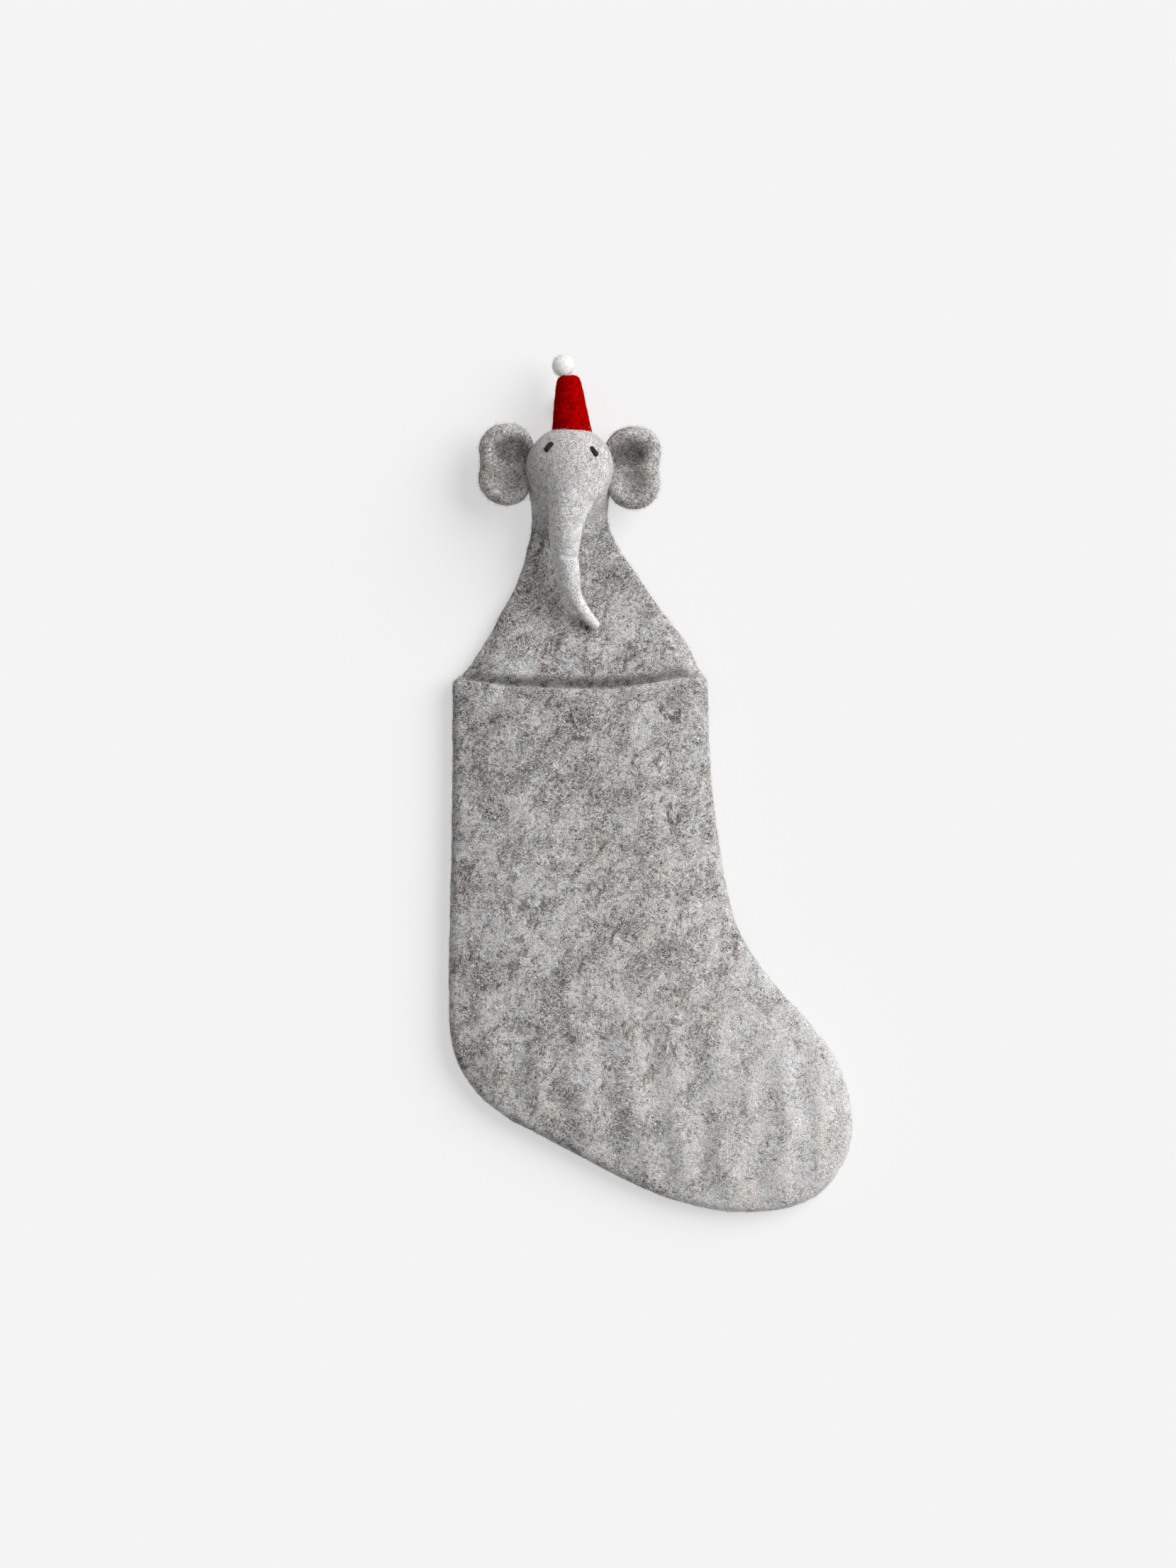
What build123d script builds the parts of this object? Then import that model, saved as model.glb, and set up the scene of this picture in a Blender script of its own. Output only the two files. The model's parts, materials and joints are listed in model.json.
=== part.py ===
"""Felt Christmas stocking with an elephant head, hung by a loop behind its hat.

Millimetres, +Z up. The front faces -Y and the wall is on the +Y side. The origin is the centre of the
hanging loop's eye. Left and right are as seen from the front, so left is -X.
"""

from build123d import *

import os
from math import cos, radians, sin, sqrt

# Felt and clearances
FELT = 4.0  # wall of the wet-felted stocking
LOOP_FELT = 2.0  # thickness of the hanging loop
GAP = 0.3  # clearance between pieces that move on each other
POCKET_DEPTH = 10.0  # free depth between the pocket's two walls
BACK_DEPTH = LOOP_FELT / 2 + GAP  # from the origin's plane to the felt's back face

# Pocket, as (x, z) seen from the front
MOUTH_LEFT = (-68.3, -159.0)
MOUTH_LOW = (6.0, -164.8)
MOUTH_RIGHT = (79.9, -157.0)
POCKET_EDGE = [
    (-68.6, -220.0),
    (-69.6, -290.0),
    (-70.4, -350.0),
    (-64.5, -386.0),  # heel
    (-42.0, -411.6),
    (-8.0, -430.6),
    (42.6, -456.3),  # sole
    (103.9, -470.8),
    (149.5, -456.3),  # toe
    (164.8, -419.0),
    (149.9, -373.5),
    (121.7, -340.4),
    (99.0, -307.2),  # instep
    (88.6, -266.0),
    (82.6, -215.0),
]
POCKET_EDGE_RADIUS = 7.0

# Flap that carries the head
FOLD_Z = -146.0
FLAP_LEFT = [(-54.5, -145.3), (-44.2, -129.2), (-30.9, -103.9), (-23.6, -79.5)]
FLAP_RIGHT = [(24.6, -74.5), (34.4, -92.0), (54.8, -120.9), (67.2, -137.4)]
NECK_HALF_WIDTH = 22.0
NECK_Z = -60.0
TONGUE_TOP = -31.0  # the flap's upper end, felted into the back of the head

# Part of the front wall that swings out when the mouth is opened
MOUTH_PANEL_X = (-50.0, 62.0)
MOUTH_HINGE_Z = -250.0

# Head
HEAD_Z = -37.0
HEAD_HALF = (26.0, 20.0, 24.5)  # half width, depth and height
HEAD_DEPTH = BACK_DEPTH + HEAD_HALF[1] - 1.0  # its centre, in front of the origin's plane
HEAD_CENTRE = Vector(0, -HEAD_DEPTH, HEAD_Z)
CHEEKS = [(-40.0, 25.4, 18.0), (-54.0, 24.0, 13.5), (-66.0, 22.0, 4.0)]  # height, half width, half depth
CORE_HALF = (20.5, 14.0, 17.0)
CORE_DROP = 2.0

# Eyes: (x, z) of the middle, and the long axis's angle from the horizontal
EYES = {"left_eye": (-12.3, -24.2, 48.0), "right_eye": (14.4, -26.9, 128.0)}
EYE_LENGTH, EYE_WIDTH, EYE_PROUD = 6.4, 4.0, 0.8

# Ears
EAR_AXIS_X = 28.2
EAR_DEPTH = HEAD_DEPTH - 2.0
EAR_ROOT_RADIUS = 3.0
EAR_ROOT_HALF = 11.0  # half height of the root
EAR_ROOT_Z = -34.0
EAR_LOBES = [  # centre and half size of each lobe
    (Vector(40.6, -EAR_DEPTH, -27.0), (12.4, 4.4, 14.8)),
    (Vector(40.9, -EAR_DEPTH, -43.2), (12.4, 4.6, 16.4)),
]
RIGHT_EAR_DROP = 2.0
EAR_DISH_RADIUS = 24.0
EAR_DISH_X = 41.0
EAR_DISH_FLOOR = 0.2  # depth of the dish's floor in front of the ear's axis

# Trunk: centre points and radii from the head to the tip
TRUNK_ROOT, TRUNK_ROOT_RADIUS = Vector(0, -26.0, -40.0), 14.0
TRUNK_PIVOT, TRUNK_RADIUS = Vector(-1.8, -35.0, -64.0), 9.3
MUZZLE_LIP = 0.6  # how far the muzzle's end stands out past the trunk it holds
CURL_PIVOT, CURL_RADIUS = Vector(-2.0, -26.5, -90.0), 7.3
TIP_BEND, TIP_BEND_RADIUS = Vector(5.0, -15.5, -116.0), 5.3
TIP_END, TIP_RADIUS = Vector(15.0, -9.2, -128.0), 3.0

# Hat
HAT_PIVOT = Vector(1.0, -HEAD_DEPTH, -8.0)
HAT_LEAN = 3.8  # degrees towards -X
HAT_BALL = 10.6  # the hat's rounded seat, centred on its pivot
HAT_MIDDLE = (8.9, 12.0)  # radius and height above the pivot
HAT_SHOULDER = (6.2, 23.0)
HAT_TOP = 27.0
POMPOM_CENTRE, POMPOM_RADIUS = Vector(-3.7, -HEAD_DEPTH, 23.5), 6.6

# Hanging loop
EYE_HOLE_RADIUS = 4.5
LOOP_RADIUS = 8.5
LOOP_TAIL_WIDTH = 9.0
LOOP_HINGE_Z = -30.0
STITCH_COUNT, STITCH_PITCH, STITCH_LENGTH, STITCH_RADIUS = 5, 2.0, 6.0, 0.4

REACH = 300.0  # longer than anything it cuts
MOUTH_MARGIN = 20.0  # how far the pocket runs past its mouth before it is trimmed
INSET_STEPS = 32  # points along the pocket's edge when it is moved inwards


def front_plane(depth):
    """The upright plane at this depth in front of the felt's back face; it extrudes towards the front."""
    return Plane.XZ.offset(BACK_DEPTH + depth)


def ball(centre, radius):
    return Pos(*centre) * Sphere(radius, mode=Mode.PRIVATE)


def ellipsoid(centre, half):
    """An ellipsoid with these half sizes along X, Y and Z."""
    return Pos(*centre) * scale(Sphere(1.0, mode=Mode.PRIVATE), by=half, mode=Mode.PRIVATE)


def along(start, end, distance=0.0):
    """A plane square to the line from start to end, this far from start."""
    direction = (end - start).normalized()
    return Plane(origin=start + direction * distance, z_dir=direction)


def above_fold():
    """The space of everything above the fold line, with a round nose on the fold's axis."""
    with BuildPart() as space:
        with BuildSketch(Plane.YZ):
            with Locations((-BACK_DEPTH - FELT / 2, FOLD_Z)):
                Rectangle(FELT, REACH, align=(Align.CENTER, Align.MIN))
                Circle(FELT / 2)
        extrude(amount=REACH, both=True)
    return space.part


def pocket_edge(inset=0.0):
    """The pocket's edge from the mouth's left end, round the foot, to its right end, moved inwards."""
    outer = Spline(MOUTH_LEFT, *POCKET_EDGE, MOUTH_RIGHT, mode=Mode.PRIVATE)
    steps = [step / INSET_STEPS for step in range(INSET_STEPS + 1)]
    moved = [outer @ u + (outer % u).rotate(Axis.Z, 90) * inset for u in steps]
    return Spline(*moved)


def pocket_outline(inset):
    """The pocket's edge, carried on past the mouth and closed there."""
    edge = pocket_edge(inset)
    left = Line(edge @ 0, edge @ 0 - (edge % 0) * MOUTH_MARGIN)
    right = Line(edge @ 1, edge @ 1 + (edge % 1) * MOUTH_MARGIN)
    Line(left @ 1, right @ 1)


def back_felt():
    """The back wall with its flap, all the way from the toe to the tongue in the head."""
    with BuildPart() as felt:
        with BuildSketch(front_plane(0)):
            with BuildLine():
                pocket_edge()
                Spline(MOUTH_LEFT, *FLAP_LEFT, (-NECK_HALF_WIDTH, NECK_Z))
                ThreePointArc(
                    (-NECK_HALF_WIDTH, NECK_Z), (0, TONGUE_TOP), (NECK_HALF_WIDTH, NECK_Z)
                )
                Spline((NECK_HALF_WIDTH, NECK_Z), *FLAP_RIGHT, MOUTH_RIGHT)
            make_face()
        extrude(amount=FELT)
    return felt.part


def front_felt():
    """The pocket's front wall with its rolled sides, open at the back and at the mouth."""
    with BuildPart() as felt:
        with BuildSketch(front_plane(FELT)):
            with BuildLine():
                pocket_outline(0.0)
            make_face()
        extrude(amount=POCKET_DEPTH + FELT)
        front_face = felt.faces().sort_by(Axis.Y)[0]
        fillet(front_face.edges().sort_by(Axis.Z)[:-1], POCKET_EDGE_RADIUS)
        with BuildSketch(front_plane(FELT)):
            with BuildLine():
                pocket_outline(FELT)
            make_face()
        extrude(amount=POCKET_DEPTH, mode=Mode.SUBTRACT)
        with BuildSketch(front_plane(FELT)):
            with BuildLine():
                ThreePointArc(MOUTH_LEFT, MOUTH_LOW, MOUTH_RIGHT)
                Polyline(MOUTH_LEFT, (-REACH, MOUTH_LEFT[1]), (-REACH, 0), (REACH, 0),
                         (REACH, MOUTH_RIGHT[1]), MOUTH_RIGHT)
            make_face()
        extrude(amount=REACH, mode=Mode.SUBTRACT)
    return felt.part


def mouth_window(clearance):
    """The space of the mouth panel, with a round nose on the hinge's axis or room for one."""
    left, right = MOUTH_PANEL_X
    wall_middle = -(BACK_DEPTH + FELT + POCKET_DEPTH + FELT / 2)
    with BuildPart() as window:
        with BuildSketch(Plane.YZ.offset(left - clearance)):
            if clearance:
                with Locations((wall_middle, MOUTH_HINGE_Z - FELT / 2 - clearance)):
                    Rectangle(2 * FELT, REACH, align=(Align.CENTER, Align.MIN))
            else:
                with Locations((wall_middle, MOUTH_HINGE_Z)):
                    Rectangle(FELT, REACH, align=(Align.CENTER, Align.MIN))
                    Circle(FELT / 2)
        extrude(amount=right - left + 2 * clearance)
    return window.part


def ear_root(side, radius):
    """A post on the ear's hinge axis."""
    with BuildPart() as post:
        drop = RIGHT_EAR_DROP if side > 0 else 0.0
        half = EAR_ROOT_HALF + (radius - EAR_ROOT_RADIUS)
        with Locations((side * EAR_AXIS_X, -EAR_DEPTH, EAR_ROOT_Z - drop)):
            Cylinder(radius, 2 * half)
    return post.part


def ear(side):
    """One ear: two lobes with a dished front, on a round root."""
    root = ear_root(side, EAR_ROOT_RADIUS)
    with BuildPart() as lobes:
        for centre, half in EAR_LOBES:
            add(ellipsoid(centre, half))
        dish_y = -EAR_DEPTH - EAR_DISH_FLOOR - EAR_DISH_RADIUS
        add(ball((EAR_DISH_X, dish_y, EAR_ROOT_Z - 1.0), EAR_DISH_RADIUS), mode=Mode.SUBTRACT)
    shape = lobes.part if side > 0 else mirror(lobes.part, about=Plane.YZ)
    with BuildPart() as whole:
        add(Pos(0, 0, -RIGHT_EAR_DROP if side > 0 else 0.0) * shape)
        add(root)
    return whole


os.makedirs("parts", exist_ok=True)
# Back wall of the pocket and, above the fold line, the flap that narrows to the neck
whole_back = back_felt()
flap_space = above_fold()
with BuildPart() as back_panel:
    add(whole_back)
    with BuildSketch(Plane.XY.offset(FOLD_Z - FELT / 2 - GAP)):
        Rectangle(2 * REACH, REACH)
    extrude(amount=-2 * REACH, mode=Mode.INTERSECT)

with BuildPart() as neck_flap:
    add(whole_back)
    add(flap_space, mode=Mode.INTERSECT)

# Front wall of the pocket, with a window for the part that swings out at the mouth
whole_front = front_felt()
window = mouth_window(GAP)
window_filling = mouth_window(0.0)
with BuildPart() as front_panel:
    add(whole_front)
    add(window, mode=Mode.SUBTRACT)

with BuildPart() as mouth_panel:
    add(whole_front)
    add(window_filling, mode=Mode.INTERSECT)

# Trunk: the upper length turns on the head, the tip turns on the upper length
with BuildPart() as trunk:
    trunk_run = (CURL_PIVOT - TRUNK_PIVOT).length - CURL_RADIUS - GAP
    with BuildSketch(along(TRUNK_PIVOT, CURL_PIVOT)):
        Circle(TRUNK_RADIUS)
    with BuildSketch(along(TRUNK_PIVOT, CURL_PIVOT, trunk_run)):
        Circle(CURL_RADIUS)
    loft()
    with Locations(TRUNK_PIVOT):
        Sphere(TRUNK_RADIUS)

tip_run = [(CURL_PIVOT, CURL_RADIUS), (TIP_BEND, TIP_BEND_RADIUS), (TIP_END, TIP_RADIUS)]
with BuildPart() as trunk_tip:
    for (start, start_radius), (end, end_radius) in zip(tip_run, tip_run[1:]):
        with BuildSketch(along(start, end)):
            Circle(start_radius)
        with BuildSketch(along(start, end, (end - start).length)):
            Circle(end_radius)
        loft()
    for joint, radius in tip_run:
        with Locations(joint):
            Sphere(radius)

# Hat and its pompom
with BuildPart() as hat:
    lean = Vector(-sin(radians(HAT_LEAN)), 0, cos(radians(HAT_LEAN)))
    across = Vector(cos(radians(HAT_LEAN)), 0, sin(radians(HAT_LEAN)))
    with BuildSketch(Plane(origin=HAT_PIVOT, x_dir=across, z_dir=across.cross(lean))):
        with BuildLine():
            seat = ThreePointArc(
                (0, -HAT_BALL), (HAT_BALL * sin(radians(45)), -HAT_BALL * cos(radians(45))), (HAT_BALL, 0)
            )
            flank = ThreePointArc(seat @ 1, HAT_MIDDLE, HAT_SHOULDER)
            crown = Spline(flank @ 1, (0, HAT_TOP), tangents=[flank % 1, (-1, 0)])
            Line(crown @ 1, seat @ 0)
        make_face()
    revolve(axis=Axis(HAT_PIVOT, lean))
    with Locations(POMPOM_CENTRE):
        Sphere(POMPOM_RADIUS, mode=Mode.SUBTRACT)

with BuildPart() as pompom:
    with Locations(POMPOM_CENTRE):
        Sphere(POMPOM_RADIUS)

# Head: a felted cover over a core of carded wool
with BuildPart() as head_core:
    add(ellipsoid(HEAD_CENTRE - Vector(0, 0, CORE_DROP), CORE_HALF))

eye_shapes = {}
for name, (x, z, angle) in EYES.items():
    across = (x - HEAD_CENTRE.X) / HEAD_HALF[0]
    up = (z - HEAD_CENTRE.Z) / HEAD_HALF[2]
    out = -sqrt(1 - across**2 - up**2)
    surface = Vector(x, HEAD_CENTRE.Y + out * HEAD_HALF[1], z)
    outward = Vector(across / HEAD_HALF[0], out / HEAD_HALF[1], up / HEAD_HALF[2]).normalized()
    middle = surface - outward * (EYE_WIDTH / 2 - EYE_PROUD)
    slant = Vector(cos(radians(angle)), 0, sin(radians(angle)))
    long_way = (slant - outward * slant.dot(outward)).normalized()
    placed = Plane(origin=middle, x_dir=long_way, z_dir=outward)
    eye_shapes[name] = placed * ellipsoid((0, 0, 0), (EYE_LENGTH / 2, EYE_WIDTH / 2, EYE_WIDTH / 2))

ear_grooves = [ear_root(side, EAR_ROOT_RADIUS + GAP) for side in (-1, 1)]
with BuildPart() as head_cover:
    add(ellipsoid(HEAD_CENTRE, HEAD_HALF))
    # cheeks, which run down into the neck
    for z, half_width, half_depth in CHEEKS:
        with BuildSketch(Plane.XY.offset(z)):
            with Locations((0, -BACK_DEPTH - half_depth)):
                Ellipse(half_width, half_depth)
    loft()
    # root of the trunk
    muzzle_run = (TRUNK_PIVOT - TRUNK_ROOT).length - TRUNK_RADIUS - GAP
    with BuildSketch(along(TRUNK_ROOT, TRUNK_PIVOT)):
        Circle(TRUNK_ROOT_RADIUS)
    with BuildSketch(along(TRUNK_ROOT, TRUNK_PIVOT, muzzle_run)):
        Circle(TRUNK_RADIUS + MUZZLE_LIP)
    loft()
    # flat back, and the hollows that its neighbours fill
    with BuildSketch(Plane.XZ.offset(BACK_DEPTH)):
        Rectangle(REACH, REACH)
    extrude(amount=-REACH, mode=Mode.SUBTRACT)
    for groove in ear_grooves:
        add(groove, mode=Mode.SUBTRACT)
    add(whole_back, mode=Mode.SUBTRACT)
    for eye_shape in eye_shapes.values():
        add(eye_shape, mode=Mode.SUBTRACT)
    add(head_core.part, mode=Mode.SUBTRACT)
    add(ball(HAT_PIVOT, HAT_BALL + GAP), mode=Mode.SUBTRACT)
    add(ball(TRUNK_PIVOT, TRUNK_RADIUS + GAP), mode=Mode.SUBTRACT)


left_ear = ear(-1)
right_ear = ear(1)

# Hanging loop with its eye, and the thread that holds it
with BuildPart() as hanging_loop:
    with BuildSketch(Plane.XZ.offset(-LOOP_FELT / 2)):
        Circle(LOOP_RADIUS)
        with Locations((0, LOOP_HINGE_Z)):
            Rectangle(LOOP_TAIL_WIDTH, -LOOP_HINGE_Z, align=(Align.CENTER, Align.MIN))
        Circle(EYE_HOLE_RADIUS, mode=Mode.SUBTRACT)
    extrude(amount=LOOP_FELT)
    with Locations((0, 0, LOOP_HINGE_Z)):
        Cylinder(LOOP_FELT / 2, LOOP_TAIL_WIDTH, rotation=(0, 90, 0))

with BuildPart() as loop_stitches:
    stitch_z = LOOP_HINGE_Z - LOOP_FELT / 2 - GAP - STITCH_LENGTH / 2
    with Locations((0, -BACK_DEPTH + STITCH_RADIUS, stitch_z)):
        with GridLocations(STITCH_PITCH, 1.0, STITCH_COUNT, 1):
            Cylinder(STITCH_RADIUS, STITCH_LENGTH)

eyes = {}
for name, shape in eye_shapes.items():
    with BuildPart() as eyes[name]:
        add(shape)

pieces = {
    "back_panel": back_panel,
    "neck_flap": neck_flap,
    "front_panel": front_panel,
    "mouth_panel": mouth_panel,
    "head_core": head_core,
    "head_cover": head_cover,
    "trunk": trunk,
    "trunk_tip": trunk_tip,
    "left_ear": left_ear,
    "right_ear": right_ear,
    "hat": hat,
    "pompom": pompom,
    "hanging_loop": hanging_loop,
    "loop_stitches": loop_stitches,
    **eyes,
}
for name, piece in pieces.items():
    piece.part.label = name
    export_step(piece.part, f"parts/{name}.step")
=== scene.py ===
"""Looks of the felt elephant stocking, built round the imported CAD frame.

Shapes are worked out in millimetres in the row frame: +Z up, the front towards -Y, the wall towards +Y.
Each felt form is a distance field, negative inside the wool, that is turned into one even mesh. Every mesh
keeps its rest position as the attribute REST, and the wool's pattern is read from that, so it bends with it.
"""

import json

import bmesh
import bpy
import numpy as np
from mathutils import Euler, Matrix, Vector

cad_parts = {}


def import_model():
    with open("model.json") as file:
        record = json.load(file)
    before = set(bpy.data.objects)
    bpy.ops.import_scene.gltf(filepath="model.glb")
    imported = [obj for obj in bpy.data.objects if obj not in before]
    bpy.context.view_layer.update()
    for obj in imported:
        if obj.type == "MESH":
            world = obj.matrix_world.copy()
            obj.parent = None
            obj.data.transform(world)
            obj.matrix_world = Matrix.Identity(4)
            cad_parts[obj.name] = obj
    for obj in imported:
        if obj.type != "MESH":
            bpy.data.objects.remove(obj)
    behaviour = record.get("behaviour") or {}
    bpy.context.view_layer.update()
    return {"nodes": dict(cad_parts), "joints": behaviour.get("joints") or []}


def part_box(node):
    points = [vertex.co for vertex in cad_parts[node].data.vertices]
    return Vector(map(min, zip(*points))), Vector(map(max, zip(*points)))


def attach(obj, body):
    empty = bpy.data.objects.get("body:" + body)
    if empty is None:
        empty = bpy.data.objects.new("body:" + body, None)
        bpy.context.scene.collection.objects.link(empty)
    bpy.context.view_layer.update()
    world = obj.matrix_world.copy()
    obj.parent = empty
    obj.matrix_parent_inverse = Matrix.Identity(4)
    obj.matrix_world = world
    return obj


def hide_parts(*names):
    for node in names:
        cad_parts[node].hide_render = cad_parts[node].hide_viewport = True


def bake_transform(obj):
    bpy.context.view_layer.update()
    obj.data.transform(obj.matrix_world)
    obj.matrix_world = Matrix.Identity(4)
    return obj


MM = 0.001
REST = "rest_mm"

# Camera and light
VIEW_DISTANCE = 6000.0
VIEW_HEIGHT = 915.8  # of the object's plane, from the picture's bottom edge to its top
VIEW_CENTRE = (10.7, -220.7)  # x and z that the picture is centred on
VIEW_REACH = 100.0  # in metres, past everything on the stage
SENSOR = 36.0
SUN_TRAVEL = (-0.78, 0.68, -0.4)
SUN_STRENGTH = 3.6
SUN_ANGLE = 0.9
WORLD_LIGHT = 0.34
WHITE = (1, 1, 1, 1)
PAINT, GLOW = 0.38, 0.51  # of the backdrop
WALL_SIZE, WALL_GAP = 3200.0, 3.2
FLOOR_SIZE = 12000.0
FLOOR_DROP = 260.0  # below the toe

# Felt
FELT = 4.0
EDGE_DEPTH = 9.0  # of the pocket at its edge, where its two walls are folded together
POCKET_SWELL = 6.4  # how much deeper it is in its middle
SWELL_REACH = 46.0
RIPPLE, RIPPLE_SIZE = 0.8, 4.6  # of the slanted waves over the foot
FOOT_TOP, FOOT_FADE = -330.0, 60.0  # the height where they begin, and how far down they grow
BELLY = 6.4  # how far forward the flap sags above the mouth
BELLY_TOP, BELLY_FOOT = 46.0, 8.5  # how high above the rim the sag begins, and where it turns back
CORNER = 6.0  # how far the mouth's two corners are rounded
FLAP_INSET, INSET_TALL = 2.2, 24.0  # how much narrower the flap is at the mouth, and up to what height
RIM_LEFT, RIM_LOW, RIM_RIGHT = -1.0, -7.8, 1.5  # the rim's ends and its lowest point, from the CAD's top
RIM_WAVE = 0.7
SEAM_BELOW_MOUTH = 10.0  # where the flap's mesh takes over from the pocket's
FOLD_ABOVE, FOLD_BELOW = 14.0, 10.0  # a stretch above and below the fold's line
FELT_STEP = 1.7  # mesh size of the stocking
FORM_STEP = 0.75  # mesh size of the head, trunk, ears and hat
SMALL_STEP = 0.6  # mesh size of the pompom and the hanging loop


# ---- camera, light and stage


def add_object(name, data):
    made = bpy.data.objects.new(name, data)
    bpy.context.collection.objects.link(made)
    return made


def make_camera():
    data = bpy.data.cameras.new("camera")
    data.sensor_width = SENSOR
    data.lens = SENSOR * VIEW_DISTANCE / VIEW_HEIGHT
    data.clip_end = VIEW_REACH
    camera = add_object("camera", data)
    x, z = VIEW_CENTRE
    camera.location = Vector((x, -VIEW_DISTANCE, z)) * MM
    camera.rotation_euler = (np.pi / 2, 0, 0)
    bpy.context.scene.camera = camera


def make_light():
    data = bpy.data.lights.new("key", "SUN")
    data.energy = SUN_STRENGTH
    data.angle = SUN_ANGLE
    add_object("key", data).rotation_euler = Vector(SUN_TRAVEL).to_track_quat("-Z", "Y").to_euler()
    world = bpy.data.worlds.new("studio")
    world.use_nodes = True
    world.node_tree.nodes["Background"].inputs["Color"].default_value = WHITE
    world.node_tree.nodes["Background"].inputs["Strength"].default_value = WORLD_LIGHT
    bpy.context.scene.world = world
    bpy.context.scene.view_settings.view_transform = "Standard"


def stage_sheet(name, corners, material):
    mesh = bpy.data.meshes.new(name)
    mesh.from_pydata([Vector(c) * MM for c in corners], [], [range(len(corners))])
    mesh.materials.append(material)
    sheet = add_object(name, mesh)
    sheet.visible_glossy = False
    sheet.visible_shadow = False
    return sheet


def make_stage(toe_z):
    """A pale wall that shows from its front only, and a pale floor well below the toe."""
    half = WALL_SIZE / 2
    wide = FLOOR_SIZE / 2
    floor = toe_z - FLOOR_DROP
    wall = [(x, WALL_GAP, z) for x, z in ((-half, floor), (half, floor), (half, half), (-half, half))]
    stage_sheet("wall", wall, stage_material("wall_paint", one_sided=True))
    ground = [(x, y, floor) for x, y in ((-wide, -wide), (wide, -wide), (wide, wide), (-wide, wide))]
    stage_sheet("floor", ground, stage_material("floor_paint", one_sided=False)).visible_diffuse = False


# ---- materials

COLOR_INPUTS, COLOR_OUTPUT = (0, 6, 7), 2  # a Mix node's sockets for its factor, two colours and result

# Wool
CURLS = ((15.0, 2.0, 7.0), (2.7, 0.6, 70.0))  # size, reach and place of the two noises that curl strands
TONES = (1.46, 1.98)  # the summed noises' values where the fleece is all dark and all light
UP_AND_OUT = (0.0, -1.2, 1.0)  # the way from the flap's wool to the head's
PALER_RAGGED = 26.0  # how uneven the change along it is
STRAND_TURNS = (0.1, 1.3, -0.9, 0.7, -0.35, 1.9, -1.4, 0.4)  # slants of the layers of strands
RAISED_LAYERS = 4  # how many of them show in the bump too
STRAND_RISE, STRAND_DIP = 0.16, -0.12
COOL, WARM = (0.985, 0.997, 1.012, 1), (1.02, 0.997, 0.975, 1)
STAIN, STRAW = (0.26, 0.22, 0.19, 1), (0.78, 0.66, 0.54, 1)
BUMP_TALL = 1.4 * MM


class Nodes:
    """Short names for building one material's nodes."""

    def __init__(self, name):
        self.material = bpy.data.materials.new(name)
        self.material.use_nodes = True
        self.tree = self.material.node_tree
        self.tree.nodes.clear()

    def add(self, kind, inputs=(), **settings):
        node = self.tree.nodes.new(kind)
        for key, value in settings.items():
            setattr(node, key, value)
        for key, value in dict(inputs).items():
            self.put(value, node.inputs[key])
        return node

    def put(self, value, socket):
        """Links another node's socket to this one, or sets this one to a plain value."""
        if isinstance(value, bpy.types.NodeSocket):
            self.tree.links.new(value, socket)
        else:
            socket.default_value = value

    def attribute(self, name, output):
        return self.add("ShaderNodeAttribute", attribute_name=name).outputs[output]

    def math(self, operation, *values):
        return self.add("ShaderNodeMath", dict(enumerate(values)), operation=operation).outputs[0]

    def vector(self, operation, inputs, output=0):
        return self.add("ShaderNodeVectorMath", inputs, operation=operation).outputs[output]

    def along(self, coordinates, direction):
        """How far each point is along this direction."""
        return self.vector("DOT_PRODUCT", {0: coordinates, 1: direction}, "Value")

    def total(self, parts):
        """The sum of these values, each times its weight."""
        first, *rest = [self.math("MULTIPLY", value, weight) for value, weight in parts]
        for value in rest:
            first = self.math("ADD", first, value)
        return first

    def mix(self, share, a, b, **settings):
        node = self.add("ShaderNodeMix", data_type="RGBA", **settings)
        for k, value in zip(COLOR_INPUTS, (share, a, b)):
            self.put(value, node.inputs[k])
        return node.outputs[COLOR_OUTPUT]

    def multiply(self, a, b):
        return self.mix(1.0, a, b, blend_type="MULTIPLY")

    def ramp(self, value, low, high):
        """0 below low, 1 above high, and smooth between them."""
        inputs = {"Value": value, "From Min": low, "From Max": high}
        return self.add("ShaderNodeMapRange", inputs, interpolation_type="SMOOTHSTEP").outputs[0]

    def noise(self, coordinates, size, detail=2.0, stretch=(1, 1, 1), turn=0.0, shift=0.0):
        """Noise with features of this size in millimetres, longer along the axes with a larger stretch.

        turn swings it about Y, so that it runs slantwise as seen from the front."""
        inputs = {"Vector": coordinates, "Location": (shift,) * 3, "Rotation": (0, turn, 0)}
        inputs["Scale"] = [size * s for s in stretch]
        placed = self.add("ShaderNodeMapping", inputs, vector_type="TEXTURE").outputs[0]
        inputs = {"Vector": placed, "Scale": 1.0, "Detail": detail, "Roughness": 0.55}
        return self.add("ShaderNodeTexNoise", inputs).outputs[0]

    def curled(self, coordinates, size, reach, shift):
        """Coordinates pushed about by up to this reach, so that straight strands drawn in them curl."""
        placed = self.add("ShaderNodeMapping", {"Vector": coordinates, "Location": (shift,) * 3}).outputs[0]
        drift = self.add("ShaderNodeTexNoise", {"Vector": placed, "Scale": 1 / size, "Detail": 1.0})
        centred = self.vector("SUBTRACT", {0: drift.outputs["Color"], 1: (0.5, 0.5, 0.5)})
        moved = self.vector("SCALE", {0: centred, "Scale": 4 * reach})
        return self.vector("ADD", {0: coordinates, 1: moved})

    def surface(self, inputs):
        return self.finish(self.add("ShaderNodeBsdfPrincipled", inputs).outputs[0])

    def finish(self, shader):
        output = self.add("ShaderNodeOutputMaterial", {"Surface": shader})
        output.is_active_output = True
        return self.material


def grey(value):
    return (value, value, value, 1)


def tinted(color, share):
    return [min(1.0, share * c) for c in color[:3]] + [1]


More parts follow.
